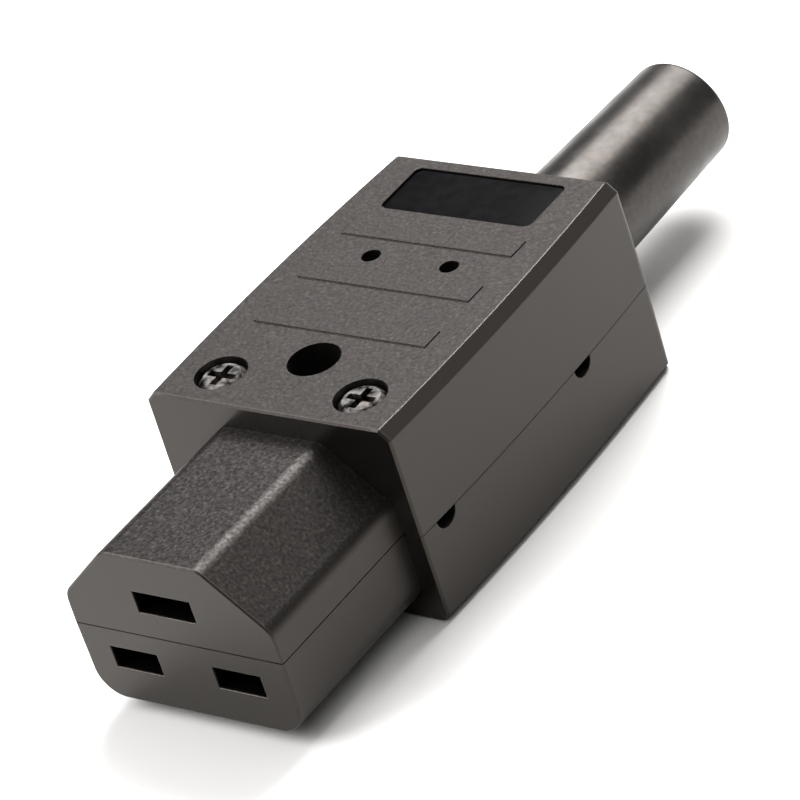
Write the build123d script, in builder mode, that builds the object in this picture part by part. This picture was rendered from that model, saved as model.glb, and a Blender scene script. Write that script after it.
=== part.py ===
from build123d import *
from math import radians, tan
import os

os.makedirs("parts", exist_ok=True)

# Rewireable in-line power connector, in millimetres.
# X runs across the nose, Y along the connector with the nose towards -Y, Z up.
# The origin is on the flat underside, in the middle of the connector's length.

# Nose that enters the appliance inlet
nose_width = 28.8
nose_height = 20.8
nose_length = 22.8
nose_lift = 1.85  # underside of the nose above the underside of the body
bevel_across = 7.7
bevel_down = 6.9
bevel_top_round = 2.2
bevel_side_round = 2.6
nose_corner_round = 3.6
nose_draft = 1.2  # degrees, away from the parting plane
nose_face_wall = 3.0
nose_wall = 2.0
nose_edge_chamfer = 0.2

# Body of the housing, sizes across at the parting plane
body_length = 48.2
body_height = 25.6
front_width = 33.9
side_bow = 0.3  # each side, beyond the corners of the front face
waist_setback = 14.0  # the sides bow out most at this distance behind the front face
rear_narrowing = 1.05  # each side, from the front face to the rear
wall = 2.2
draft_angle = 0.6  # degrees, away from the parting plane
side_chamfer = 1.25
rear_round = 1.2
bottom_chamfer = 0.9
front_chamfer = 0.25
seam_height = 11.8
nose_groove = 0.14  # fine groove at the parting plane
body_groove = 0.06

# Locating lip of the lower shell
lip_thickness = 0.9
lip_height = 1.2
lip_front_setback = 8.5
lip_rear_setback = 9.0

# Pin slots in the nose face
slot_height = 2.9
earth_slot_width = 8.0
power_slot_width = 6.6
earth_height = 16.5
power_height = 7.8
power_pitch = 14.2

# Sheet-metal contacts
sheet = 0.8
contact_spread = 4.6  # outer height of the folded receptacle
contact_pinch = 1.6  # gap between the leaves where they grip a 2 mm pin
contact_mouth = 4.1  # outer height of the flared mouth
earth_leaf_width = 8.8
power_leaf_width = 7.4
contact_bend = 0.9
pinch_setback = 3.0
leaf_ramp = 4.6
earth_mouth_gap = 0.4  # mouth behind the inner side of the nose face
power_mouth_gap = 1.6
contact_back = 4.0  # back plate in front of the body's front face
tail_height = 3.0
earth_tail_offset = 5.75
power_tail_offset = 3.8

# Terminal blocks
terminal_width = 7.0
terminal_length = 8.0
terminal_height = 6.4
terminal_setback = 17.8
terminal_edge = 0.3
power_terminal_offset = 8.4
tail_socket_depth = 2.2
wire_hole_width = 3.4
wire_hole_height = 3.2
wire_hole_depth = 5.0
terminal_screw_setback = 3.0  # from the terminal's rear face
terminal_core_radius = 1.2
terminal_head_radius = 2.3
terminal_head_height = 1.8
terminal_head_stand = 0.5
driver_slot_width = 0.6
driver_slot_depth = 0.9
guard_thickness = 0.3
guard_width = 3.0
guard_lip = 1.4

# Closing screws
side_screw_offset = 9.65
side_screw_setback = 5.25
centre_screw_setback = 9.9
well_radius = 3.1
well_wall = 1.15
screw_sink = 0.3  # side screw heads below the top face
screw_head_radius = 2.8
screw_head_height = 2.0
screw_bevel = 0.6  # round the head's top
screw_core_radius = 1.25
screw_hole_radius = 1.6
screw_tip_height = 4.0
centre_seat_height = 15.0
post_radius = 2.6
cross_length = 3.6
cross_width = 0.9
cross_depth = 1.2

# Cord clamp
cord_radius = 4.0
clamp_setback = 28.8
clamp_screw_offset = 5.45
clamp_length = 4.4  # along the cord
clamp_bar_reach = 8.2
clamp_bar_base = 4.6
clamp_bar_shoulder = 8.4
saddle_base = 13.4
saddle_reach = 7.9
clamp_core_radius = 1.1
clamp_bar_hole_radius = 1.3
clamp_head_radius = 2.4
clamp_head_height = 1.7
clamp_tip_height = 20.6

# Rubber cord sleeve
sleeve_reach = 32.7  # beyond the body's rear face
sleeve_base_radius = 7.4
sleeve_tip_radius = 6.65
sleeve_neck_radius = 6.9
sleeve_flange_radius = 9.0
sleeve_flange_thickness = 2.5
sleeve_neck_length = 4.0
sleeve_bore_radius = 4.2
sleeve_tip_chamfer = 0.4

# Top face
label_width = 21.0
label_length = 8.2
label_setback = 41.6
label_depth = 0.45
label_corner = 1.0
pad_width = 23.8
pad_length = 3.0
pad_rise = 0.18
pad_first_setback = 16.1
pad_pitch = 8.65
pad_count = 3

# Half-round opening notches in the lower shell's rim
notch_radius = 1.7
notch_depth = 3.0
notch_setbacks = (4.4, 32.3)

# Ribs and running gaps
rib = 1.2
bulkhead = 2.0
bridge_web = 1.6
bridge_tail = 13.5  # bridge behind the body's front face
seat_gap = 0.05
side_gap = 0.1
head_gap = 0.3  # round the heads of the terminal screws
pick_band = 0.1  # half the height of the band in which corners are picked

# Widths and places worked out from the sizes above
waist_width = front_width + 2 * side_bow
rear_width = front_width - 2 * rear_narrowing
overall_length = nose_length + body_length + sleeve_reach
front_y = nose_length - overall_length / 2
tip_y = front_y - nose_length
rear_y = front_y + body_length
sleeve_end_y = rear_y + sleeve_reach
nose_top = nose_lift + nose_height
nose_cavity_y = tip_y + nose_face_wall
ceiling = body_height - wall
inner_front_y = front_y + wall
inner_rear_y = rear_y - wall
contact_back_y = front_y - contact_back
terminal_y = front_y + terminal_setback
terminal_rear_y = terminal_y + terminal_length
terminal_screw_y = terminal_rear_y - terminal_screw_setback
clamp_y = front_y + clamp_setback
sleeve_flange_y = inner_rear_y - side_gap - sleeve_flange_thickness
bulkhead_y = sleeve_flange_y - side_gap - bulkhead
sleeve_inner_y = sleeve_flange_y - sleeve_neck_length
side_seat_height = body_height - screw_sink - screw_head_height
side_screw_y = front_y + side_screw_setback
centre_screw_y = front_y + centre_screw_setback
bridge_base = power_height + contact_spread / 2 + seat_gap
bridge_top = earth_height - contact_spread / 2 - seat_gap
web_base = (bridge_base + bridge_top - bridge_web) / 2
web_top = web_base + bridge_web
power_x = power_pitch / 2


def cross_plane(y):
    """Plane across the connector at y, seen from the nose, so that it extrudes towards the nose."""
    return Plane.XZ.offset(-y)


def body_plan(height, facing=1, inset=0.0):
    """Bowed outline of the body, drawn in by inset, on a plane that faces up (1) or down (-1)."""
    front = front_width / 2 - inset
    waist = waist_width / 2 - inset
    rear = rear_width / 2 - inset
    near = facing * (front_y + inset)
    middle = facing * (front_y + waist_setback)
    far = facing * (rear_y - inset)
    with BuildSketch(Plane(origin=(0, 0, height), x_dir=(1, 0, 0), z_dir=(0, 0, facing))) as plan:
        with BuildLine():
            Line((-front, near), (front, near))
            ThreePointArc((front, near), (waist, middle), (rear, far))
            Line((rear, far), (-rear, far))
            ThreePointArc((-rear, far), (-waist, middle), (-front, near))
        make_face()
    return plan.sketch


def nose_section(y, upper, inset=0.0):
    """Half of the bevelled nose outline, above or below the parting plane."""
    slope = tan(radians(nose_draft))
    seam = nose_width / 2
    foot = nose_top - bevel_down
    side = seam - (foot - seam_height) * slope
    base = seam - (seam_height - nose_lift) * slope
    crown = nose_width / 2 - bevel_across
    with BuildSketch(cross_plane(y)) as section:
        with BuildLine():
            Polyline(
                (seam, seam_height), (side, foot), (crown, nose_top), (-crown, nose_top),
                (-side, foot), (-seam, seam_height), (-base, nose_lift), (base, nose_lift),
                close=True,
            )
        make_face()
        for height, radius in (
            (nose_top, bevel_top_round),
            (foot, bevel_side_round),
            (nose_lift, nose_corner_round),
        ):
            corners = section.vertices().filter_by_position(Axis.Y, height - pick_band, height + pick_band)
            fillet(corners, radius)
        if inset:
            offset(amount=-inset)
        edge = Align.MIN if upper else Align.MAX
        with Locations((0, seam_height)):
            Rectangle(nose_width, nose_height, align=(Align.CENTER, edge), mode=Mode.INTERSECT)
    return section.sketch


def slab(width, y, length, base, top, x=0.0):
    """Upright block between two heights, centred on x, that starts at y."""
    with BuildPart() as block:
        with Locations((x, y, base)):
            Box(width, length, top - base, align=(Align.CENTER, Align.MIN, Align.MIN))
    return block.part


def rod(radius, base, top, x, y):
    """Upright round bar between two heights."""
    with BuildPart() as bar:
        with Locations((x, y, base)):
            Cylinder(radius, top - base, align=(Align.CENTER, Align.CENTER, Align.MIN))
    return bar.part


def cord_bar(radius, y, length):
    """Round bar along the cord's axis, which lies in the parting plane."""
    with BuildPart() as bar:
        with BuildSketch(cross_plane(y + length)):
            with Locations((0, seam_height)):
                Circle(radius)
        extrude(amount=length)
    return bar.part


def cradle(x, seat, rim, root):
    """Channel that holds a terminal block by its long sides, from its root to its rim."""
    inner = terminal_width + 2 * side_gap
    with BuildPart() as channel:
        add(slab(inner + 2 * rib, terminal_y, terminal_length, min(root, rim), max(root, rim), x))
        add(
            slab(inner, terminal_y, terminal_length, min(seat, rim), max(seat, rim), x),
            mode=Mode.SUBTRACT,
        )
    return channel.part


# Upper shell: top of the body and the bevelled upper half of the nose
with BuildPart() as upper_shell:
    extrude(body_plan(seam_height), amount=body_height - seam_height, taper=draft_angle)
    crown_face = upper_shell.faces().sort_by(Axis.Z)[-1]
    chamfer(crown_face.edges().filter_by(GeomType.LINE, reverse=True), length=side_chamfer)
    front_rim = upper_shell.faces().sort_by(Axis.Y)[0].edges().sort_by(Axis.Z)[1:]
    chamfer(front_rim, length=front_chamfer)
    rear_rim = upper_shell.faces().sort_by(Axis.Y)[-1].edges().sort_by(Axis.Z)[1:]
    fillet(rear_rim, radius=rear_round)
    extrude(nose_section(inner_front_y, True), amount=inner_front_y - tip_y)
    nose_rim = upper_shell.faces().sort_by(Axis.Y)[0].edges().sort_by(Axis.Z)[1:]
    chamfer(nose_rim, length=nose_edge_chamfer)

    # Hollow, with the rebate for the lower shell's lip
    extrude(body_plan(seam_height, inset=wall), amount=ceiling - seam_height, mode=Mode.SUBTRACT)
    extrude(
        nose_section(inner_front_y + wall, True, nose_wall),
        amount=inner_front_y + wall - nose_cavity_y,
        mode=Mode.SUBTRACT,
    )
    with BuildSketch(Plane.XY.offset(seam_height)):
        add(body_plan(0, inset=wall - lip_thickness - side_gap))
        with Locations((0, front_y + lip_front_setback - side_gap)):
            Rectangle(
                waist_width,
                body_length - lip_front_setback - lip_rear_setback + 2 * side_gap,
                align=(Align.CENTER, Align.MIN),
                mode=Mode.INTERSECT,
            )
    extrude(amount=lip_height + side_gap, mode=Mode.SUBTRACT)

    # Screw wells and sleeves
    for x in (-side_screw_offset, side_screw_offset):
        add(rod(well_radius + well_wall, side_seat_height - well_wall, ceiling, x, side_screw_y))
        add(rod(post_radius, seam_height, ceiling, x, side_screw_y))
    add(rod(well_radius + well_wall, centre_seat_height - well_wall, ceiling, 0, centre_screw_y))
    add(rod(post_radius, seam_height, ceiling, 0, centre_screw_y))

    # Chamber walls and seats over the earth contact
    chamber_half = earth_leaf_width / 2 + side_gap
    chamber_length = contact_back_y - sheet - nose_cavity_y
    nose_ceiling = nose_top - nose_wall
    for x in (-chamber_half - rib / 2, chamber_half + rib / 2):
        add(slab(rib, nose_cavity_y, chamber_length, web_top + seat_gap, nose_ceiling, x))
    earth_seat = earth_height + contact_spread / 2 + seat_gap
    for y in (nose_cavity_y + chamber_length / 2, nose_cavity_y + chamber_length - rib):
        add(slab(2 * chamber_half + rib, y, rib, earth_seat, nose_ceiling))

    # Cradle over the earth terminal, saddle over the cord and the bulkhead before the sleeve
    earth_terminal_top = earth_height + terminal_height / 2
    add(cradle(0, earth_terminal_top + seat_gap, earth_height + rib, ceiling))
    head_room = terminal_head_radius + head_gap
    head_room_top = earth_terminal_top + terminal_head_stand + terminal_head_height + seat_gap
    add(
        rod(head_room, earth_terminal_top, max(ceiling, head_room_top), 0, terminal_screw_y),
        mode=Mode.SUBTRACT,
    )
    add(slab(2 * saddle_reach, clamp_y - clamp_length / 2, clamp_length, saddle_base, ceiling))
    add(slab(rear_width - wall, bulkhead_y, bulkhead, seam_height, ceiling))

    # Passages along the cord's axis
    passage_y = front_y + bridge_tail
    add(cord_bar(cord_radius + side_gap, passage_y, bulkhead_y - passage_y), mode=Mode.SUBTRACT)
    add(cord_bar(sleeve_neck_radius + side_gap, bulkhead_y, bulkhead), mode=Mode.SUBTRACT)
    add(cord_bar(sleeve_base_radius + side_gap, inner_rear_y - side_gap, 2 * wall), mode=Mode.SUBTRACT)

    # Holes from above
    for x in (-side_screw_offset, side_screw_offset):
        add(rod(well_radius, side_seat_height, body_height, x, side_screw_y), mode=Mode.SUBTRACT)
        add(rod(screw_hole_radius, seam_height, body_height, x, side_screw_y), mode=Mode.SUBTRACT)
    add(rod(well_radius, centre_seat_height, body_height, 0, centre_screw_y), mode=Mode.SUBTRACT)
    add(rod(screw_hole_radius, seam_height, body_height, 0, centre_screw_y), mode=Mode.SUBTRACT)
    for x in (-clamp_screw_offset, clamp_screw_offset):
        add(rod(clamp_core_radius + seat_gap, seam_height, body_height, x, clamp_y), mode=Mode.SUBTRACT)

    # Earth slot
    with BuildSketch(cross_plane(nose_cavity_y)):
        with Locations((0, earth_height)):
            Rectangle(earth_slot_width, slot_height)
    extrude(amount=nose_face_wall, mode=Mode.SUBTRACT)

    # Label recess and raised pads
    with BuildSketch(Plane.XY.offset(body_height)):
        with Locations((0, front_y + label_setback)):
            RectangleRounded(label_width, label_length, label_corner)
    extrude(amount=-label_depth, mode=Mode.SUBTRACT)
    with BuildSketch(Plane.XY.offset(body_height)):
        with Locations([(0, front_y + pad_first_setback + i * pad_pitch) for i in range(pad_count)]):
            Rectangle(pad_width, pad_length)
    extrude(amount=pad_rise)
upper_shell.part.label = "upper_shell"
export_step(upper_shell.part, "parts/upper_shell.step")


# Lower shell: bottom of the body and the lower half of the nose
with BuildPart() as lower_shell:
    extrude(body_plan(seam_height, facing=-1), amount=seam_height, taper=draft_angle)
    base_face = lower_shell.faces().sort_by(Axis.Z)[0]
    chamfer(base_face.edges().filter_by(GeomType.LINE, reverse=True), length=bottom_chamfer)
    front_rim = lower_shell.faces().sort_by(Axis.Y)[0].edges().sort_by(Axis.Z)[:-1]
    chamfer(front_rim, length=front_chamfer)
    rear_corners = lower_shell.faces().sort_by(Axis.Y)[-1].edges().sort_by(Axis.Z)[-3:-1]
    fillet(rear_corners, radius=rear_round)
    extrude(nose_section(inner_front_y, False), amount=inner_front_y - tip_y)
    nose_rim = lower_shell.faces().sort_by(Axis.Y)[0].edges().sort_by(Axis.Z)[:-1]
    chamfer(nose_rim, length=nose_edge_chamfer)

    # Fine groove all round at the parting plane
    with BuildSketch(Plane.XY.offset(seam_height - body_groove)):
        with Locations((0, front_y)):
            Rectangle(2 * waist_width, body_length + sleeve_reach, align=(Align.CENTER, Align.MIN))
        add(body_plan(0, inset=body_groove), mode=Mode.SUBTRACT)
    extrude(amount=body_groove, mode=Mode.SUBTRACT)
    with BuildSketch(Plane.XY.offset(seam_height - nose_groove)):
        with Locations((0, front_y)):
            Rectangle(2 * nose_width, 2 * nose_length, align=(Align.CENTER, Align.MAX))
            Rectangle(
                nose_width - 2 * nose_groove,
                nose_length - nose_groove,
                align=(Align.CENTER, Align.MAX),
                mode=Mode.SUBTRACT,
            )
    extrude(amount=nose_groove, mode=Mode.SUBTRACT)

    # Hollow
    extrude(body_plan(wall, inset=wall), amount=seam_height - wall, mode=Mode.SUBTRACT)
    extrude(
        nose_section(inner_front_y + wall, False, nose_wall),
        amount=inner_front_y + wall - nose_cavity_y,
        mode=Mode.SUBTRACT,
    )

    # Locating lip along both sides
    with BuildSketch(Plane.XY.offset(seam_height - wall)):
        add(body_plan(0, inset=wall - lip_thickness))
        add(body_plan(0, inset=wall), mode=Mode.SUBTRACT)
        with Locations((0, front_y + lip_front_setback)):
            Rectangle(
                waist_width,
                body_length - lip_front_setback - lip_rear_setback,
                align=(Align.CENTER, Align.MIN),
                mode=Mode.INTERSECT,
            )
    extrude(amount=wall + lip_height)

    # Posts for the closing screws
    for x, y in (
        (-side_screw_offset, side_screw_y),
        (side_screw_offset, side_screw_y),
        (0, centre_screw_y),
    ):
        add(rod(post_radius, wall, seam_height, x, y))
        add(
            rod(screw_core_radius + seat_gap, screw_tip_height - rib / 2, seam_height, x, y),
            mode=Mode.SUBTRACT,
        )

    # Chamber walls and seats under the power contacts
    nose_floor = nose_lift + nose_wall
    chamber_length = contact_back_y - sheet - nose_cavity_y
    chamber_half = power_leaf_width / 2 + side_gap
    power_seat = power_height - contact_spread / 2 - seat_gap
    for x in (-power_x, power_x):
        for side in (-1, 1):
            rib_x = x + side * (chamber_half + rib / 2)
            add(slab(rib, nose_cavity_y, chamber_length, nose_floor, web_base - seat_gap, rib_x))
        for y in (nose_cavity_y + chamber_length / 2, nose_cavity_y + chamber_length - rib):
            add(slab(2 * chamber_half + rib, y, rib, nose_floor, power_seat, x))

    # Barrier between the power terminals, which also carries the earth terminal
    earth_terminal_base = earth_height - terminal_height / 2
    add(slab(2 * rib, terminal_y - rib, terminal_length + rib, wall, earth_terminal_base - seat_gap))
    power_terminal_base = power_height - terminal_height / 2
    for x in (-power_terminal_offset, power_terminal_offset):
        add(cradle(x, power_terminal_base - seat_gap, power_height - rib, wall))

    # Bulkhead before the sleeve, and the passages along the cord's axis
    add(slab(rear_width - wall, bulkhead_y, bulkhead, wall, seam_height))
    add(cord_bar(sleeve_neck_radius + side_gap, bulkhead_y, bulkhead), mode=Mode.SUBTRACT)
    add(cord_bar(sleeve_base_radius + side_gap, inner_rear_y - side_gap, 2 * wall), mode=Mode.SUBTRACT)

    # Power slots
    with BuildSketch(cross_plane(nose_cavity_y)):
        with Locations((-power_x, power_height), (power_x, power_height)):
            Rectangle(power_slot_width, slot_height)
    extrude(amount=nose_face_wall, mode=Mode.SUBTRACT)

    # Opening notches at the seam on both sides
    for side in (-1, 1):
        with BuildSketch(Plane.YZ.offset(side * waist_width / 2)):
            with Locations([(front_y + setback, seam_height) for setback in notch_setbacks]):
                Circle(notch_radius)
        extrude(amount=-side * notch_depth, mode=Mode.SUBTRACT)
lower_shell.part.label = "lower_shell"
export_step(lower_shell.part, "parts/lower_shell.step")


# Insulating bridge between the earth contact above and the power contacts below
with BuildPart() as contact_carrier:
    bridge_half = nose_width / 2 - nose_wall - head_gap
    bridge_start = nose_cavity_y + side_gap
    bridge_end = front_y + bridge_tail
    add(slab(2 * bridge_half, bridge_start, bridge_end - bridge_start, web_base, web_top))
    for x in (-power_x, power_x):
        add(slab(rib, bridge_start, contact_back_y - bridge_start, bridge_base, web_base, x))
    for x in (-earth_leaf_width / 4, earth_leaf_width / 4):
        add(slab(rib, bridge_start, contact_back_y - bridge_start, web_top, bridge_top, x))
    post_room = post_radius + 2 * side_gap
    for x, y in (
        (-side_screw_offset, side_screw_y),
        (side_screw_offset, side_screw_y),
        (0, centre_screw_y),
    ):
        add(rod(post_room, web_base, web_top, x, y), mode=Mode.SUBTRACT)
    fillet(contact_carrier.edges().filter_by(Axis.Z).group_by(Axis.Y)[-1], radius=rib)
contact_carrier.part.label = "contact_carrier"
export_step(contact_carrier.part, "parts/contact_carrier.step")


def make_contact(leaf_width, mouth_y, x, height, tail_points):
    """Receptacle folded from one sheet, with two sprung leaves and a tail to the terminal."""
    outer = (contact_spread - sheet) / 2
    mouth = (contact_mouth - sheet) / 2
    grip = (contact_pinch + sheet) / 2
    leaf = [
        (mouth_y, mouth),
        (mouth_y + pinch_setback, grip),
        (mouth_y + pinch_setback + leaf_ramp, outer),
        (contact_back_y, outer),
    ]
    fold = leaf + [(y, -z) for y, z in reversed(leaf)]
    with BuildPart() as contact:
        with BuildSketch(Plane.YZ.offset(x)):
            with BuildLine():
                FilletPolyline([(y, height + z) for y, z in fold], radius=contact_bend)
            trace(line_width=sheet)
        extrude(amount=leaf_width / 2, both=True)
        with BuildSketch(Plane.XY.offset(height - tail_height / 2)):
            with BuildLine():
                FilletPolyline(tail_points, radius=contact_bend)
            trace(line_width=sheet)
        extrude(amount=tail_height)
    return contact.part


tail_end_y = terminal_y + tail_socket_depth
bend_start_y = centre_screw_y + post_radius
bend_end_y = terminal_y - rib
earth_contact = make_contact(
    earth_leaf_width,
    nose_cavity_y + earth_mouth_gap,
    0,
    earth_height,
    [(0, contact_back_y), (earth_tail_offset, contact_back_y), (earth_tail_offset, bend_start_y),
     (0, bend_end_y), (0, tail_end_y)],
)
earth_contact.label = "earth_contact"
export_step(earth_contact, "parts/earth_contact.step")

for name, side in (("line", 1), ("neutral", -1)):
    power_contact = make_contact(
        power_leaf_width,
        nose_cavity_y + power_mouth_gap,
        side * power_x,
        power_height,
        [(side * power_x, contact_back_y), (side * power_tail_offset, contact_back_y),
         (side * power_tail_offset, bend_start_y), (side * power_terminal_offset, bend_end_y),
         (side * power_terminal_offset, tail_end_y)],
    )
    power_contact.label = name + "_contact"
    export_step(power_contact, "parts/" + name + "_contact.step")


# Terminal blocks with their screws and wire guards
for name, x, height in (
    ("earth", 0, earth_height),
    ("line", power_terminal_offset, power_height),
    ("neutral", -power_terminal_offset, power_height),
):
    block_base = height - terminal_height / 2
    block_top = height + terminal_height / 2
    hole_top = height + wire_hole_height / 2
    with BuildPart() as terminal:
        add(slab(terminal_width, terminal_y, terminal_length, block_base, block_top, x))
        chamfer(terminal.edges().filter_by(Axis.Y), length=terminal_edge)
        add(
            slab(
                sheet + 2 * seat_gap, terminal_y, tail_socket_depth + seat_gap,
                height - tail_height / 2 - seat_gap, height + tail_height / 2 + seat_gap, x,
            ),
            mode=Mode.SUBTRACT,
        )
        with BuildSketch(cross_plane(terminal_rear_y)):
            with Locations((x, height)):
                RectangleRounded(wire_hole_width, wire_hole_height, 2 * terminal_edge)
        extrude(amount=wire_hole_depth, mode=Mode.SUBTRACT)
        add(
            rod(terminal_core_radius + seat_gap, height, block_top, x, terminal_screw_y),
            mode=Mode.SUBTRACT,
        )
    terminal.part.label = name + "_terminal"
    export_step(terminal.part, "parts/" + name + "_terminal.step")

    guard_height = hole_top - guard_thickness - 2 * seat_gap
    screw_tip = guard_height + guard_thickness / 2 + seat_gap
    with BuildPart() as terminal_screw:
        head_base = block_top + terminal_head_stand
        head_top = head_base + terminal_head_height
        add(rod(terminal_core_radius, screw_tip, head_base, x, terminal_screw_y))
        add(rod(terminal_head_radius, head_base, head_top, x, terminal_screw_y))
        add(
            slab(
                2 * terminal_head_radius, terminal_screw_y - driver_slot_width / 2,
                driver_slot_width, head_top - driver_slot_depth, head_top, x,
            ),
            mode=Mode.SUBTRACT,
        )
    terminal_screw.part.label = name + "_terminal_screw"
    export_step(terminal_screw.part, "parts/" + name + "_terminal_screw.step")

    with BuildPart() as wire_guard:
        with BuildSketch(Plane.YZ.offset(x)):
            with BuildLine():
                lip_y = terminal_rear_y + guard_thickness
                FilletPolyline(
                    (terminal_rear_y - wire_hole_depth + side_gap, guard_height),
                    (lip_y, guard_height),
                    (lip_y, guard_height + guard_lip),
                    radius=guard_thickness,
                )
            trace(line_width=guard_thickness)
        extrude(amount=guard_width / 2, both=True)
    wire_guard.part.label = name + "_wire_guard"
    export_step(wire_guard.part, "parts/" + name + "_wire_guard.step")


# Closing screws with bevelled, cross-recessed heads
for name, x, y, seat in (
    ("left", -side_screw_offset, side_screw_y, side_seat_height),
    ("right", side_screw_offset, side_screw_y, side_seat_height),
    ("centre", 0, centre_screw_y, centre_seat_height),
):
    with BuildPart() as housing_screw:
        head_top = seat + screw_head_height
        rim_top = head_top - screw_bevel
        crown_radius = screw_head_radius - screw_bevel
        with BuildSketch(Plane(origin=(x, y, 0), x_dir=(1, 0, 0), z_dir=(0, -1, 0))):
            with BuildLine():
                Polyline(
                    (0, head_top), (crown_radius, head_top), (screw_head_radius, rim_top),
                    (screw_head_radius, seat), (0, seat), close=True,
                )
            make_face()
        revolve(axis=Axis((x, y, 0), (0, 0, 1)))
        add(rod(screw_core_radius, screw_tip_height, seat, x, y))
        with BuildSketch(Plane.XY.offset(head_top)):
            with Locations((x, y)):
                Rectangle(cross_length, cross_width)
                Rectangle(cross_width, cross_length)
        extrude(amount=-cross_depth, mode=Mode.SUBTRACT)
    housing_screw.part.label = "housing_screw_" + name
    export_step(housing_screw.part, "parts/housing_screw_" + name + ".step")


# Clamp bar hollowed to the cord, and its two screws from below
with BuildPart() as cord_clamp_bar:
    clamp_start_y = clamp_y - clamp_length / 2
    add(slab(2 * clamp_bar_reach, clamp_start_y, clamp_length, clamp_bar_base, clamp_bar_shoulder))
    fillet(cord_clamp_bar.edges().filter_by(Axis.Z), radius=rib)
    add(cord_bar(cord_radius + side_gap, clamp_start_y, clamp_length), mode=Mode.SUBTRACT)
    for x in (-clamp_screw_offset, clamp_screw_offset):
        add(rod(clamp_bar_hole_radius, clamp_bar_base, clamp_bar_shoulder, x, clamp_y), mode=Mode.SUBTRACT)
cord_clamp_bar.part.label = "cord_clamp_bar"
export_step(cord_clamp_bar.part, "parts/cord_clamp_bar.step")

for name, x in (("left", -clamp_screw_offset), ("right", clamp_screw_offset)):
    with BuildPart() as clamp_screw:
        head_base = clamp_bar_base - clamp_head_height
        add(rod(clamp_head_radius, head_base, clamp_bar_base, x, clamp_y))
        add(rod(clamp_core_radius, clamp_bar_base, clamp_tip_height, x, clamp_y))
        with BuildSketch(Plane.XY.offset(head_base)):
            with Locations((x, clamp_y)):
                Rectangle(cross_length, cross_width)
                Rectangle(cross_width, cross_length)
        extrude(amount=cross_depth, mode=Mode.SUBTRACT)
    clamp_screw.part.label = "cord_clamp_screw_" + name
    export_step(clamp_screw.part, "parts/cord_clamp_screw_" + name + ".step")


# Rubber sleeve, held by its flange between the bulkhead and the rear wall
with BuildPart() as cord_sleeve:
    with BuildSketch(Plane.YZ):
        with BuildLine():
            Polyline(
                (sleeve_inner_y, seam_height + sleeve_bore_radius),
                (sleeve_inner_y, seam_height + sleeve_neck_radius),
                (sleeve_flange_y, seam_height + sleeve_neck_radius),
                (sleeve_flange_y, seam_height + sleeve_flange_radius),
                (sleeve_flange_y + sleeve_flange_thickness, seam_height + sleeve_flange_radius),
                (sleeve_flange_y + sleeve_flange_thickness, seam_height + sleeve_base_radius),
                (rear_y, seam_height + sleeve_base_radius),
                (sleeve_end_y, seam_height + sleeve_tip_radius),
                (sleeve_end_y, seam_height + sleeve_bore_radius),
                close=True,
            )
        make_face()
    revolve(axis=Axis((0, 0, seam_height), (0, 1, 0)))
    chamfer(cord_sleeve.faces().sort_by(Axis.Y)[-1].edges(), length=sleeve_tip_chamfer)
cord_sleeve.part.label = "cord_sleeve"
export_step(cord_sleeve.part, "parts/cord_sleeve.step")
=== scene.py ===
import math
import bmesh
import bpy
import numpy as np
from mathutils import Matrix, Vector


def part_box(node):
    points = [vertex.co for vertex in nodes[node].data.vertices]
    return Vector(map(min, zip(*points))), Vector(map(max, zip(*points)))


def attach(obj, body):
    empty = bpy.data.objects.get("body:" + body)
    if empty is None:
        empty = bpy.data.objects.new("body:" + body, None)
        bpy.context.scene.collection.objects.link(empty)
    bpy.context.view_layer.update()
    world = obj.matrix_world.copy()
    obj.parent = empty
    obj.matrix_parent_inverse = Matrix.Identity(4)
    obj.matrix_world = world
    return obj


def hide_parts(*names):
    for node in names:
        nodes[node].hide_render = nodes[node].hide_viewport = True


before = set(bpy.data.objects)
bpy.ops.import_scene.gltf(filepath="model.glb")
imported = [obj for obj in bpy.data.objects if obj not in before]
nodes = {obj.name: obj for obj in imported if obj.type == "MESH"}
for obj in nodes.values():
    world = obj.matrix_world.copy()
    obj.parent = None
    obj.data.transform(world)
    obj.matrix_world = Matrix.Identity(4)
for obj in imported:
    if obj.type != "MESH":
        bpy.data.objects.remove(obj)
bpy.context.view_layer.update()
mm = 0.001
noseLength = 22.8  # mm
shellLow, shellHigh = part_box("upper_shell")  # its lowest faces lie on the seam
sleeveLow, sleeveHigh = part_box("cord_sleeve")
noseEnd = shellLow.y + noseLength * mm  # where the nose grows out of the body

# Camera, in the photograph's place: where it stands, its three turns in degrees, and its lens
camera = {
    "place": (332.9, -343.11, 307.02),  # mm
    "azimuth": 44.862,
    "elevation": 31.965,
    "roll": 18.479,
    "focalPixels": 5014.6,
    "imageWidth": 800,
    "sensorWidth": 36.0,
    "reach": (0.01, 20.0),  # metres
}


def makeCamera(c):
    data = bpy.data.cameras.new("photoCamera")
    data.sensor_width = c["sensorWidth"]
    data.lens = c["focalPixels"] / c["imageWidth"] * c["sensorWidth"]
    data.clip_start, data.clip_end = c["reach"]
    azimuth, elevation, roll = (math.radians(c[k]) for k in ("azimuth", "elevation", "roll"))
    forward = np.array([
        -math.sin(azimuth) * math.cos(elevation),
        math.cos(azimuth) * math.cos(elevation),
        -math.sin(elevation),
    ])
    level = np.cross(forward, [0, 0, 1])
    level /= np.linalg.norm(level)
    drop = np.cross(forward, level)
    right = math.cos(roll) * level + math.sin(roll) * drop
    down = math.cos(roll) * drop - math.sin(roll) * level
    turn = Matrix(np.column_stack([right, -down, -forward]).tolist()).to_4x4()
    turn.translation = [v * mm for v in c["place"]]
    thing = bpy.data.objects.new("photoCamera", data)
    thing.matrix_world = turn
    bpy.context.scene.collection.objects.link(thing)
    bpy.context.scene.camera = thing


makeCamera(camera)
bpy.context.scene.view_settings.view_transform = "Standard"
print("camera set")


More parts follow.
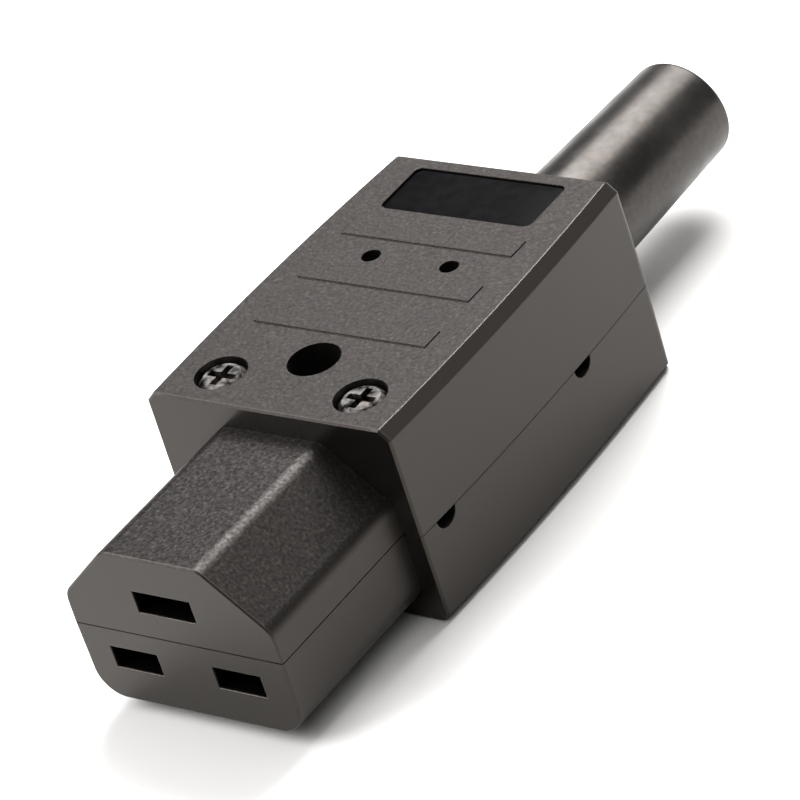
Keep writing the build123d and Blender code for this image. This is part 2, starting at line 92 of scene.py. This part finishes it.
# Colours, nodes and materials
def linear(hexCode):  # sRGB hex to linear, with alpha 1
    parts = np.array([int(hexCode[i:i + 2], 16) for i in (1, 3, 5)]) / 255
    parts = np.where(parts <= 0.04045, parts / 12.92, ((parts + 0.055) / 1.055) ** 2.4)
    return (*parts.tolist(), 1.0)


def addNode(tree, kind, settings=None, inputs=None):  # a socket in inputs is linked, anything else is set
    node = tree.nodes.new("ShaderNode" + kind)
    for key, value in (settings or {}).items():
        setattr(node, key, value)
    for key, value in (inputs or {}).items():
        if isinstance(value, bpy.types.NodeSocket):
            tree.links.new(value, node.inputs[key])
        else:
            node.inputs[key].default_value = value
    return node


# A step of a material gives its result's name, its node and settings, and then that node's inputs in
# this order. A word among the inputs stands for the result of an earlier step
stepInputs = {
    "MapRange": ("Value", "From Min", "From Max", "To Min", "To Max"),
    "Math": (0, 1, 2),
    "Mix": ("Factor", "A", "B"),
}


def addSteps(tree, results, steps):
    for result, kind, settings, *values in steps:
        inputs = {key: results[v] if isinstance(v, str) else v for key, v in zip(stepInputs[kind], values)}
        node = addNode(tree, kind, settings, inputs)
        results[result] = node.outputs["Value" if kind == "Math" else "Result"]


# The settings that the steps name
smooth = {"interpolation_type": "SMOOTHSTEP"}
times, minus, larger = {"operation": "MULTIPLY"}, {"operation": "SUBTRACT"}, {"operation": "MAXIMUM"}
nearTo, below, above = {"operation": "COMPARE"}, {"operation": "LESS_THAN"}, {"operation": "GREATER_THAN"}
colour, number, direction = {"data_type": "RGBA"}, {"data_type": "FLOAT"}, {"data_type": "VECTOR"}


def newMaterial(name):
    material = bpy.data.materials.new(name)
    material.use_nodes = True
    material.node_tree.nodes.clear()
    return material, material.node_tree


# A noise's values bunch round a half: nearly all lie in the wide span, and most of them in the narrow one
wideSpan = (0.3, 0.7)
narrowSpan = (0.36, 0.64)

# Moulded glass-filled nylon. The tool's upper faces were spark eroded, so they scatter light over a coarse
# pebbled skin with pale specks. The sides and the front came off smooth steel and look even and satin, and
# the long chamfers were milled smooth. The outer top edges that face the sky are lighter and shinier: partly
# wear from hands, partly a painted highlight. The slots are painted near black with almost no sheen: painted
# shade
shellFinish = {
    "faceColour": "#1b1918",
    "noseColour": "#131211",
    "sideColour": "#100f0e",
    "speckColour": "#5a5652",
    "pitColour": "#0b0a0a",
    # the burnished edges' lighter colour: partly wear, partly a painted highlight
    "wornHighlightColour": "#57524f",
    # the slots' near black: painted shade
    "slotShadeColour": "#040404",
    "faceTint": "#fff3ee",
    "sideTint": "#fff0e4",
    "faceRoughness": 0.62,
    "noseRoughness": 0.44,
    "sideRoughness": 0.42,
    "frontRoughness": 0.25,
    "wornRoughness": 0.27,
    "bodySheen": 0.46,
    "frontSheen": 0.42,
    "noseSheen": 0.36,
    # the burnished edges' stronger sheen: partly wear, partly a painted highlight
    "wornSheen": 0.85,
    # the slots' weak sheen: painted shade, with their near-black colour
    "slotShadeSheen": 0.05,
    "ior": 1.52,
    "grainMm": 0.38,
    "pebbleMm": 0.532,
    "pebbleSmoothness": 0.6,
    "cloudMm": 2.6,
    "grainHeightMm": 0.022,
    "edgeMm": 0.17,
    "edgeSamples": 6,
    # what is read off the noises: two of a noise's values, and what these two become
    "specks": (0.58, 0.8, 0.0, 0.45),
    "pits": (0.44, 0.3, 0.0, 0.8),
    "clouds": (*wideSpan, 0.9, 1.1),
    "faceGlints": (0.35, 0.65, 0.74, 1.26),
    "noseGlints": (0.35, 0.65, 0.5, 1.5),
    # where each zone starts and where it is full: first by the facing, as parts of a unit normal
    "upward": (0.35, 0.97),
    "sloped": (0.93, 0.88),
    "frontal": (-0.9, -0.99),
    "skyward": (0.35, 0.55),
    "rounded": (0.99, 0.94),
    # and then by the place, in metres
    "onNose": (noseEnd + 0.2 * mm, noseEnd - 0.1 * mm),
    "ahead": (noseEnd + 2.2 * mm, noseEnd + 1.8 * mm),
    "beyondNose": (14.45 * mm, 14.55 * mm),
    "besidePads": (12.8 * mm, 13.0 * mm),
    "seam": (shellLow.z, 0.4 * mm),  # its height and its reach up and down
    "rootStart": noseEnd - 0.5 * mm,
    "rootTop": 24.0 * mm,
    "rootHalfWidth": 14.8 * mm,
    "slotMiddle": (0.0, shellLow.y + noseLength / 2 * mm, 12.15 * mm),  # of the box round the slots
    "slotHalf": (10.9 * mm, 11.2 * mm, 6.2 * mm),
    "slotRim": (1.0, 0.99),  # shares of slotHalf
}


def shellZones(f):
    return [
        # eroded: faces upwards and isn't one of the long chamfers, which lie beyond the nose's width
        ("upward", "MapRange", smooth, "facingUp", *f["upward"]),
        ("sloped", "MapRange", {}, "facingUp", *f["sloped"]),
        ("beyondNose", "MapRange", {}, "aside", *f["beyondNose"]),
        ("milled", "Math", times, "beyondNose", "sloped"),
        ("unmilled", "Math", minus, 1.0, "milled"),
        ("eroded", "Math", times, "upward", "unmilled"),
        ("frontal", "MapRange", {}, "facingAlong", *f["frontal"]),
        ("onNose", "MapRange", {}, "along", *f["onNose"]),
        ("noseSkin", "Math", times, "onNose", "eroded"),
        # sharp: the nose's parting line, and the inner corner where the nose grows out of the body
        ("nearSeam", "Math", nearTo, "height", *f["seam"]),
        ("underTop", "Math", below, "height", f["rootTop"]),
        ("inNose", "Math", below, "aside", f["rootHalfWidth"]),
        ("atRoot", "Math", above, "along", f["rootStart"]),
        ("lowRoot", "Math", times, "underTop", "inNose"),
        ("root", "Math", times, "lowRoot", "atRoot"),
        ("noseSeam", "Math", times, "nearSeam", "onNose"),
        ("sharp", "Math", larger, "root", "noseSeam"),
        # burnished edges, partly wear and partly a painted highlight: those that face the sky, at the front
        # or farther out than the pads, and off the joints
        ("rounded", "MapRange", smooth, "turned", *f["rounded"]),
        ("skyward", "MapRange", {}, "edgeUp", *f["skyward"]),
        ("ahead", "MapRange", {}, "along", *f["ahead"]),
        ("besidePads", "MapRange", {}, "aside", *f["besidePads"]),
        ("outer", "Math", larger, "ahead", "besidePads"),
        ("outerEdge", "Math", times, "rounded", "outer"),
        ("topEdge", "Math", times, "outerEdge", "skyward"),
        ("joints", "Math", larger, "root", "nearSeam"),
        ("offJoints", "Math", minus, 1.0, "joints"),
        ("burnished", "Math", times, "topEdge", "offJoints"),
        # painted shade in the slots: inside a box behind the nose's end face, where the slots are painted
        # near black
        ("slotAcross", "Math", larger, "slotX", "slotZ"),
        ("slotShare", "Math", larger, "slotAcross", "slotY"),
        ("inSlots", "MapRange", {}, "slotShare", *f["slotRim"]),
    ]


def shellColours(f):
    return [
        ("specks", "MapRange", {}, "grain", *f["specks"]),
        ("pits", "MapRange", {}, "grain", *f["pits"]),
        ("clouds", "MapRange", {}, "cloud", *f["clouds"]),
        ("faceTone", "Mix", colour, "onNose", linear(f["faceColour"]), linear(f["noseColour"])),
        ("speckled", "Mix", colour, "specks", "faceTone", linear(f["speckColour"])),
        ("pitted", "Mix", colour, "pits", "speckled", linear(f["pitColour"])),
        ("bareTone", "Mix", colour, "eroded", linear(f["sideColour"]), "pitted"),
        ("clouded", "Mix", {**colour, "blend_type": "MULTIPLY"}, 1.0, "bareTone", "clouds"),
        # a lighter colour on the burnished edges: partly wear, partly a painted highlight
        ("wornTone", "Mix", colour, "burnished", "clouded", linear(f["wornHighlightColour"])),
        # the slots painted near black: painted shade
        ("tone", "Mix", colour, "inSlots", "wornTone", linear(f["slotShadeColour"])),
        ("tint", "Mix", colour, "eroded", linear(f["sideTint"]), linear(f["faceTint"])),
    ]


def shellGloss(f):
    return [
        ("erodedRoughness", "Mix", number, "onNose", f["faceRoughness"], f["noseRoughness"]),
        ("drawnRoughness", "Mix", number, "frontal", f["sideRoughness"], f["frontRoughness"]),
        ("bareRoughness", "Mix", number, "eroded", "drawnRoughness", "erodedRoughness"),
        ("roughness", "Mix", number, "burnished", "bareRoughness", f["wornRoughness"]),
        ("drawnSheen", "Mix", number, "frontal", f["bodySheen"], f["frontSheen"]),
        ("bareSheen", "Mix", number, "noseSkin", "drawnSheen", f["noseSheen"]),
        # the grain's knobs shine more than the hollows between them
        ("faceGlints", "MapRange", {}, "grain", *f["faceGlints"]),
        ("noseGlints", "MapRange", {}, "grain", *f["noseGlints"]),
        ("glints", "Mix", number, "onNose", "faceGlints", "noseGlints"),
        ("glintShare", "Mix", number, "eroded", 1.0, "glints"),
        ("grainSheen", "Math", times, "bareSheen", "glintShare"),
        # a stronger sheen on the burnished edges: partly wear, partly a painted highlight
        ("wornSheen", "Mix", number, "burnished", "grainSheen", f["wornSheen"]),
        # almost no sheen in the slots: painted shade
        ("sheen", "Mix", number, "inSlots", "wornSheen", f["slotShadeSheen"]),
        # relief only where the tool was eroded, and rounded edges only away from the sharp ones
        ("relief", "Math", times, "pebbles", "eroded"),
        ("rounding", "Mix", direction, "sharp", "edgeNormal", "flatNormal"),
    ]


def makeShellFinish(name, f):
    material, tree = newMaterial(name)
    place = addNode(tree, "TexCoord")
    spot = addNode(tree, "SeparateXYZ", inputs={0: place.outputs["Object"]})
    facing = addNode(tree, "SeparateXYZ", inputs={0: place.outputs["Normal"]})
    aside = addNode(tree, "Math", {"operation": "ABSOLUTE"}, {0: spot.outputs["X"]})
    # at an edge the bevelled normal turns away from the flat one
    flat = addNode(tree, "NewGeometry")
    edges = addNode(tree, "Bevel", {"samples": f["edgeSamples"]}, {"Radius": f["edgeMm"] * mm})
    edgeFacing = addNode(tree, "SeparateXYZ", inputs={0: edges.outputs["Normal"]})
    turned = addNode(tree, "VectorMath", {"operation": "DOT_PRODUCT"}, {
        0: edges.outputs["Normal"], 1: flat.outputs["Normal"],
    })
    # the distance from the middle of the slots' box, as shares of its half sizes
    fromMiddle = addNode(tree, "VectorMath", {"operation": "SUBTRACT"}, {
        0: place.outputs["Object"], 1: f["slotMiddle"],
    })
    away = addNode(tree, "VectorMath", {"operation": "ABSOLUTE"}, {0: fromMiddle.outputs[0]})
    shares = addNode(tree, "VectorMath", {"operation": "DIVIDE"}, {0: away.outputs[0], 1: f["slotHalf"]})
    slotShares = addNode(tree, "SeparateXYZ", inputs={0: shares.outputs[0]})
    grain = addNode(tree, "TexNoise", inputs={
        "Vector": place.outputs["Object"], "Scale": 1 / (f["grainMm"] * mm), "Detail": 3.0, "Roughness": 0.6,
    })
    cloud = addNode(tree, "TexNoise", inputs={
        "Vector": place.outputs["Object"], "Scale": 1 / (f["cloudMm"] * mm), "Detail": 3.0,
    })
    pebbles = addNode(tree, "TexVoronoi", {"feature": "SMOOTH_F1"}, {
        "Vector": place.outputs["Object"], "Scale": 1 / (f["pebbleMm"] * mm),
        "Smoothness": f["pebbleSmoothness"],
    })
    results = {
        "aside": aside.outputs[0], "along": spot.outputs["Y"], "height": spot.outputs["Z"],
        "facingAlong": facing.outputs["Y"], "facingUp": facing.outputs["Z"],
        "edgeUp": edgeFacing.outputs["Z"], "turned": turned.outputs["Value"],
        "edgeNormal": edges.outputs["Normal"], "flatNormal": flat.outputs["Normal"],
        "slotX": slotShares.outputs["X"], "slotY": slotShares.outputs["Y"], "slotZ": slotShares.outputs["Z"],
        "grain": grain.outputs["Fac"], "cloud": cloud.outputs["Fac"], "pebbles": pebbles.outputs["Distance"],
    }
    addSteps(tree, results, shellZones(f) + shellColours(f) + shellGloss(f))
    bump = addNode(tree, "Bump", inputs={
        "Height": results["relief"], "Distance": f["grainHeightMm"] * mm, "Strength": 1.0,
        "Normal": results["rounding"],
    })
    shader = addNode(tree, "BsdfPrincipled", inputs={
        "Base Color": results["tone"], "Roughness": results["roughness"], "Normal": bump.outputs["Normal"],
        "IOR": f["ior"], "Specular Tint": results["tint"], "Specular IOR Level": results["sheen"],
    })
    addNode(tree, "OutputMaterial", inputs={"Surface": shader.outputs[0]})
    return material


nylonShell = makeShellFinish("sparkErodedNylon", shellFinish)

# Soft PVC from a polished tool: an even satin skin that runs the light into one long streak, with faint
# clouds and a slight mottle in the shine where it was handled
sleeveFinish = {
    "colour": "#1b1a1a",
    "cloudColour": "#272625",
    "skinTint": "#fff0e4",
    "cloudMm": 3.5,
    "skinMm": 0.9,
    "roughness": (0.28, 0.4),
    "sheen": (0.37, 0.47),
    "ior": 1.53,
    "skinHeightMm": 0.01,
}


def makeSleeveFinish(name, f):
    material, tree = newMaterial(name)
    place = addNode(tree, "TexCoord")
    cloud = addNode(tree, "TexNoise", inputs={
        "Vector": place.outputs["Object"], "Scale": 1 / (f["cloudMm"] * mm), "Detail": 4.0,
    })
    skin = addNode(tree, "TexNoise", inputs={
        "Vector": place.outputs["Object"], "Scale": 1 / (f["skinMm"] * mm), "Detail": 2.0,
    })
    results = {"cloud": cloud.outputs["Fac"], "skin": skin.outputs["Fac"]}
    addSteps(tree, results, [
        ("tone", "Mix", colour, "cloud", linear(f["colour"]), linear(f["cloudColour"])),
        ("roughness", "MapRange", {}, "cloud", *wideSpan, *f["roughness"]),
        ("sheen", "MapRange", {}, "skin", *narrowSpan, *f["sheen"]),
    ])
    bump = addNode(tree, "Bump", inputs={
        "Height": skin.outputs["Fac"], "Distance": f["skinHeightMm"] * mm, "Strength": 1.0,
    })
    shader = addNode(tree, "BsdfPrincipled", inputs={
        "Base Color": results["tone"], "Roughness": results["roughness"], "Normal": bump.outputs["Normal"],
        "IOR": f["ior"], "Specular Tint": linear(f["skinTint"]), "Specular IOR Level": results["sheen"],
    })
    addNode(tree, "OutputMaterial", inputs={"Surface": shader.outputs[0]})
    return material


softPvc = makeSleeveFinish("satinSoftPvc", sleeveFinish)

# Plain finishes: two tones and a range of roughness, broken up by a noise of the size its process leaves
plainFinishes = {
    # rolled brass strip: even and dull, without a polish
    "rolledBrass": {
        "colours": ("#8d7342", "#b59a63"), "grainMm": 0.6, "metallic": 1.0, "roughness": (0.3, 0.45),
        "heightMm": 0.004,
    },
    # machined brass block: a little brighter, with a finer grain
    "machinedBrass": {
        "colours": ("#94783f", "#bfa268"), "grainMm": 0.3, "metallic": 1.0, "roughness": (0.25, 0.4),
        "heightMm": 0.004,
    },
    # cold-headed steel, zinc plated: a soft grey sheen in patches, some bright and some nearly black
    "zincPlatedSteel": {
        "colours": ("#191716", "#7d7976"), "grainMm": 1.2, "metallic": 1.0, "roughness": (0.34, 0.56),
        "heightMm": 0.01,
    },
    # moulded nylon of the inner pieces: matt black with a faint bloom
    "mouldedNylon": {
        "colours": ("#2b2a29", "#353331"), "grainMm": 1.1, "metallic": 0.0, "roughness": (0.5, 0.62),
        "heightMm": 0.006,
    },
    # lacquered plate: near black and smooth, with the slightest orange peel
    "blackLacquer": {
        "colours": ("#050506", "#08080a"), "grainMm": 1.4, "metallic": 0.0, "roughness": (0.32, 0.42),
        "heightMm": 0.004, "sheen": 0.04,
    },
}


def makePlainFinish(name, f):
    material, tree = newMaterial(name)
    place = addNode(tree, "TexCoord")
    grain = addNode(tree, "TexNoise", inputs={
        "Vector": place.outputs["Object"], "Scale": 1 / (f["grainMm"] * mm), "Detail": 3.0,
    })
    results = {"grain": grain.outputs["Fac"]}
    addSteps(tree, results, [
        ("patches", "MapRange", {}, "grain", *narrowSpan),
        ("tone", "Mix", colour, "patches", *map(linear, f["colours"])),
        ("roughness", "MapRange", {}, "grain", *wideSpan, *f["roughness"]),
    ])
    bump = addNode(tree, "Bump", inputs={
        "Height": grain.outputs["Fac"], "Distance": f["heightMm"] * mm, "Strength": 1.0,
    })
    shader = addNode(tree, "BsdfPrincipled", inputs={
        "Base Color": results["tone"], "Roughness": results["roughness"], "Metallic": f["metallic"],
        "Normal": bump.outputs["Normal"], "Specular IOR Level": f.get("sheen", 0.5),
    })
    addNode(tree, "OutputMaterial", inputs={"Surface": shader.outputs[0]})
    return material


finishes = {name: makePlainFinish(name, f) for name, f in plainFinishes.items()}
# The first of these words that a node's name holds gives its finish
finishOfWord = {
    "shell": nylonShell,
    "screw": finishes["zincPlatedSteel"],
    "carrier": finishes["mouldedNylon"],
    "terminal": finishes["machinedBrass"],
    "guard": finishes["rolledBrass"],
    "contact": finishes["rolledBrass"],
    "bar": finishes["mouldedNylon"],
    "sleeve": softPvc,
}
for name, thing in nodes.items():
    thing.data.materials.clear()
    thing.data.materials.append(next(finish for word, finish in finishOfWord.items() if word in name))
print("finishes put on", len(nodes), "nodes")


# Surfaces: points is a grid of rows by columns, and the last column joins the first one. Points that fall
# together, on a seam or in a middle, become one, so that the surface is closed and has no empty faces
mergeReach = 0.0001 * mm


def gridSurface(name, points, material):
    rows, columns = points.shape[:2]
    near = np.arange(columns)
    far = np.roll(near, -1)
    start = np.arange(rows - 1)[:, None] * columns
    corners = np.stack([start + near, start + far, start + columns + far, start + columns + near], axis=-1)
    mesh = bpy.data.meshes.new(name)
    mesh.from_pydata(points.reshape(-1, 3).tolist(), [], corners.reshape(-1, 4).tolist())
    surface = bmesh.new()
    surface.from_mesh(mesh)
    bmesh.ops.remove_doubles(surface, verts=surface.verts, dist=mergeReach)
    surface.to_mesh(mesh)
    surface.free()
    mesh.polygons.foreach_set("use_smooth", np.ones(len(mesh.polygons), bool))
    mesh.materials.append(material)
    thing = bpy.data.objects.new(name, mesh)
    bpy.context.scene.collection.objects.link(thing)
    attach(thing, "root")
    return thing


def roundedPath(points, radii, count=8):
    # each corner becomes an arc: its centre lies on the corner's bisector, radius / sin(half angle) from it
    points, path = np.array(points, float), []
    for before, corner, after, radius in zip(np.roll(points, 1, 0), points, np.roll(points, -1, 0), radii):
        into = (before - corner) / np.linalg.norm(before - corner)
        out = (after - corner) / np.linalg.norm(after - corner)
        half = math.acos(np.clip(into @ out, -1, 1)) / 2
        reach = radius / math.tan(half)
        middle = (into + out) / np.linalg.norm(into + out)
        centre = corner + middle * radius / math.sin(half)
        first, last = corner + into * reach - centre, corner + out * reach - centre
        share = np.linspace(0, 1, count)[:, None]
        chord = first * (1 - share) + last * share
        path.append(centre + chord / np.linalg.norm(chord, axis=1)[:, None] * radius)
    return np.concatenate(path)


# Cord sleeve: a closed profile turned about the cord's axis, all in mm
sleeve = {
    "boreRadius": 4.2,
    "neckRadius": 6.9,
    "baseRadius": 7.4,
    "tipRadius": 6.65,
    "neckLength": 4.0,
    "flangeThickness": 2.5,
    "insideReach": 8.8,
    "tipRound": 0.7,
    "mouthRound": 0.35,
    "smallRound": 0.15,
    "points": 160,  # round the axis
}


def makeSleeve(s):
    axisHeight = (sleeveLow.z + sleeveHigh.z) / 2 / mm
    inner, tip = sleeveLow.y / mm, sleeveHigh.y / mm
    flange = (sleeveHigh.z - sleeveLow.z) / 2 / mm
    flangeStart = inner + s["neckLength"]
    flangeEnd = flangeStart + s["flangeThickness"]
    small = s["smallRound"]
    corners = [
        (inner, s["boreRadius"]), (inner, s["neckRadius"]), (flangeStart, s["neckRadius"]),
        (flangeStart, flange), (flangeEnd, flange), (flangeEnd, s["baseRadius"]),
        (inner + s["insideReach"], s["baseRadius"]), (tip, s["tipRadius"]), (tip, s["boreRadius"]),
    ]
    radii = [small] * 7 + [s["tipRound"], s["mouthRound"]]
    profile = roundedPath(corners, radii)
    profile = np.concatenate([profile, profile[:1]])
    # a point of the profile at (y, r) turns to (r cos a, y, axis + r sin a)
    angle = -np.linspace(0, 2 * np.pi, s["points"], endpoint=False)
    y, r = profile[:, :1], profile[:, 1:]
    grid = np.stack([r * np.cos(angle), y + 0 * angle, axisHeight + r * np.sin(angle)], axis=-1) * mm
    thing = gridSurface("cordSleeve", grid, softPvc)
    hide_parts("cord_sleeve")


makeSleeve(sleeve)
print("sleeve made")

# Black plate in the recess behind the pads, left bare, all in mm
plate = {
    "recessSetback": 41.6,  # the middle of the recess, behind the front of the body
    "recessSize": (21.0, 8.2),
    "recessDepth": 0.45,
    "padRise": 0.18,
    "sideGap": 0.15,
    "lift": 0.01,
    "corner": 0.9,
    "thickness": 0.22,
    "edge": 0.08,
    "cornerPoints": 12,
    "edgePoints": 5,
}


def makePlate(p):
    half = np.array(p["recessSize"]) / 2 - p["sideGap"]
    middle = np.array([0, noseEnd / mm + p["recessSetback"]])
    outline = roundedPath(
        [(-half[0], -half[1]), (half[0], -half[1]), (half[0], half[1]), (-half[0], half[1])],
        [p["corner"]] * 4, p["cornerPoints"],
    )
    # rows go from the middle of the underside out to the edge, over it and back to the middle of the top:
    # each is the outline, shrunk towards its middle by a share of its size and set at a height
    base = shellHigh.z / mm - p["padRise"] - p["recessDepth"] + p["lift"]
    top = base + p["thickness"]
    bend = np.linspace(0, np.pi / 2, p["edgePoints"])
    shrunk = np.concatenate([[1.0, 0.0], p["edge"] / half[1] * (1 - np.cos(bend)), [0.5, 1.0]])
    height = np.concatenate([[base, base], top - p["edge"] * (1 - np.sin(bend)), [top, top]])
    flat = outline[None] * (1 - shrunk[:, None, None]) + middle
    grid = np.concatenate([flat, np.broadcast_to(height[:, None, None], flat.shape[:2] + (1,))], axis=-1)
    gridSurface("recessPlate", grid * mm, finishes["blackLacquer"])


makePlate(plate)
print("plate made")

# Floor and light, in metres: matt paper under a room that is dim low down and bright overhead
studio = {
    "floorColour": "#f4f3f1",
    "floorRoughness": 0.9,
    "floorSize": 6.0,
    "roomColour": "#ffffff",
    "roomStrength": (0.06, 1.3),
    "roomRise": (0.55, 0.95),  # where the room starts to brighten and where it is full: 1 is straight up
    "lamps": {
        # name: place, size, watts
        "backBox": ((-0.16, 0.67, 0.86), 0.7, 19.0),
        "leftBox": ((-0.65, -0.56, 0.68), 0.7, 10.0),
    },
}


def makeStudio(s):
    edge = s["floorSize"] / 2
    mesh = bpy.data.meshes.new("floor")
    corners = [(-edge, -edge, 0), (edge, -edge, 0), (edge, edge, 0), (-edge, edge, 0)]
    mesh.from_pydata(corners, [], [(0, 1, 2, 3)])
    material, tree = newMaterial("matPaper")
    shader = addNode(tree, "BsdfPrincipled", inputs={
        "Base Color": linear(s["floorColour"]), "Roughness": s["floorRoughness"], "Specular IOR Level": 0.0,
    })
    addNode(tree, "OutputMaterial", inputs={"Surface": shader.outputs[0]})
    mesh.materials.append(material)
    floor = bpy.data.objects.new("floor", mesh)
    bpy.context.scene.collection.objects.link(floor)
    world = bpy.data.worlds.new("room")
    world.use_nodes = True
    world.node_tree.nodes.clear()
    towards = addNode(world.node_tree, "TexCoord")
    lift = addNode(world.node_tree, "SeparateXYZ", inputs={0: towards.outputs["Generated"]})
    results = {"lift": lift.outputs["Z"]}
    addSteps(world.node_tree, results, [
        ("strength", "MapRange", {}, "lift", *s["roomRise"], *s["roomStrength"]),
    ])
    light = addNode(world.node_tree, "Background", inputs={
        "Color": linear(s["roomColour"]), "Strength": results["strength"],
    })
    addNode(world.node_tree, "OutputWorld", inputs={"Surface": light.outputs[0]})
    bpy.context.scene.world = world
    for name, (place, size, watts) in s["lamps"].items():
        data = bpy.data.lights.new(name, "AREA")
        data.size = size
        data.energy = watts
        lamp = bpy.data.objects.new(name, data)
        back = np.array(place) / np.linalg.norm(place)
        side = np.cross([0, 0, 1], back)
        side /= np.linalg.norm(side)
        turn = Matrix(np.column_stack([side, np.cross(back, side), back]).tolist()).to_4x4()
        turn.translation = place
        lamp.matrix_world = turn
        bpy.context.scene.collection.objects.link(lamp)


makeStudio(studio)
print("studio lit")
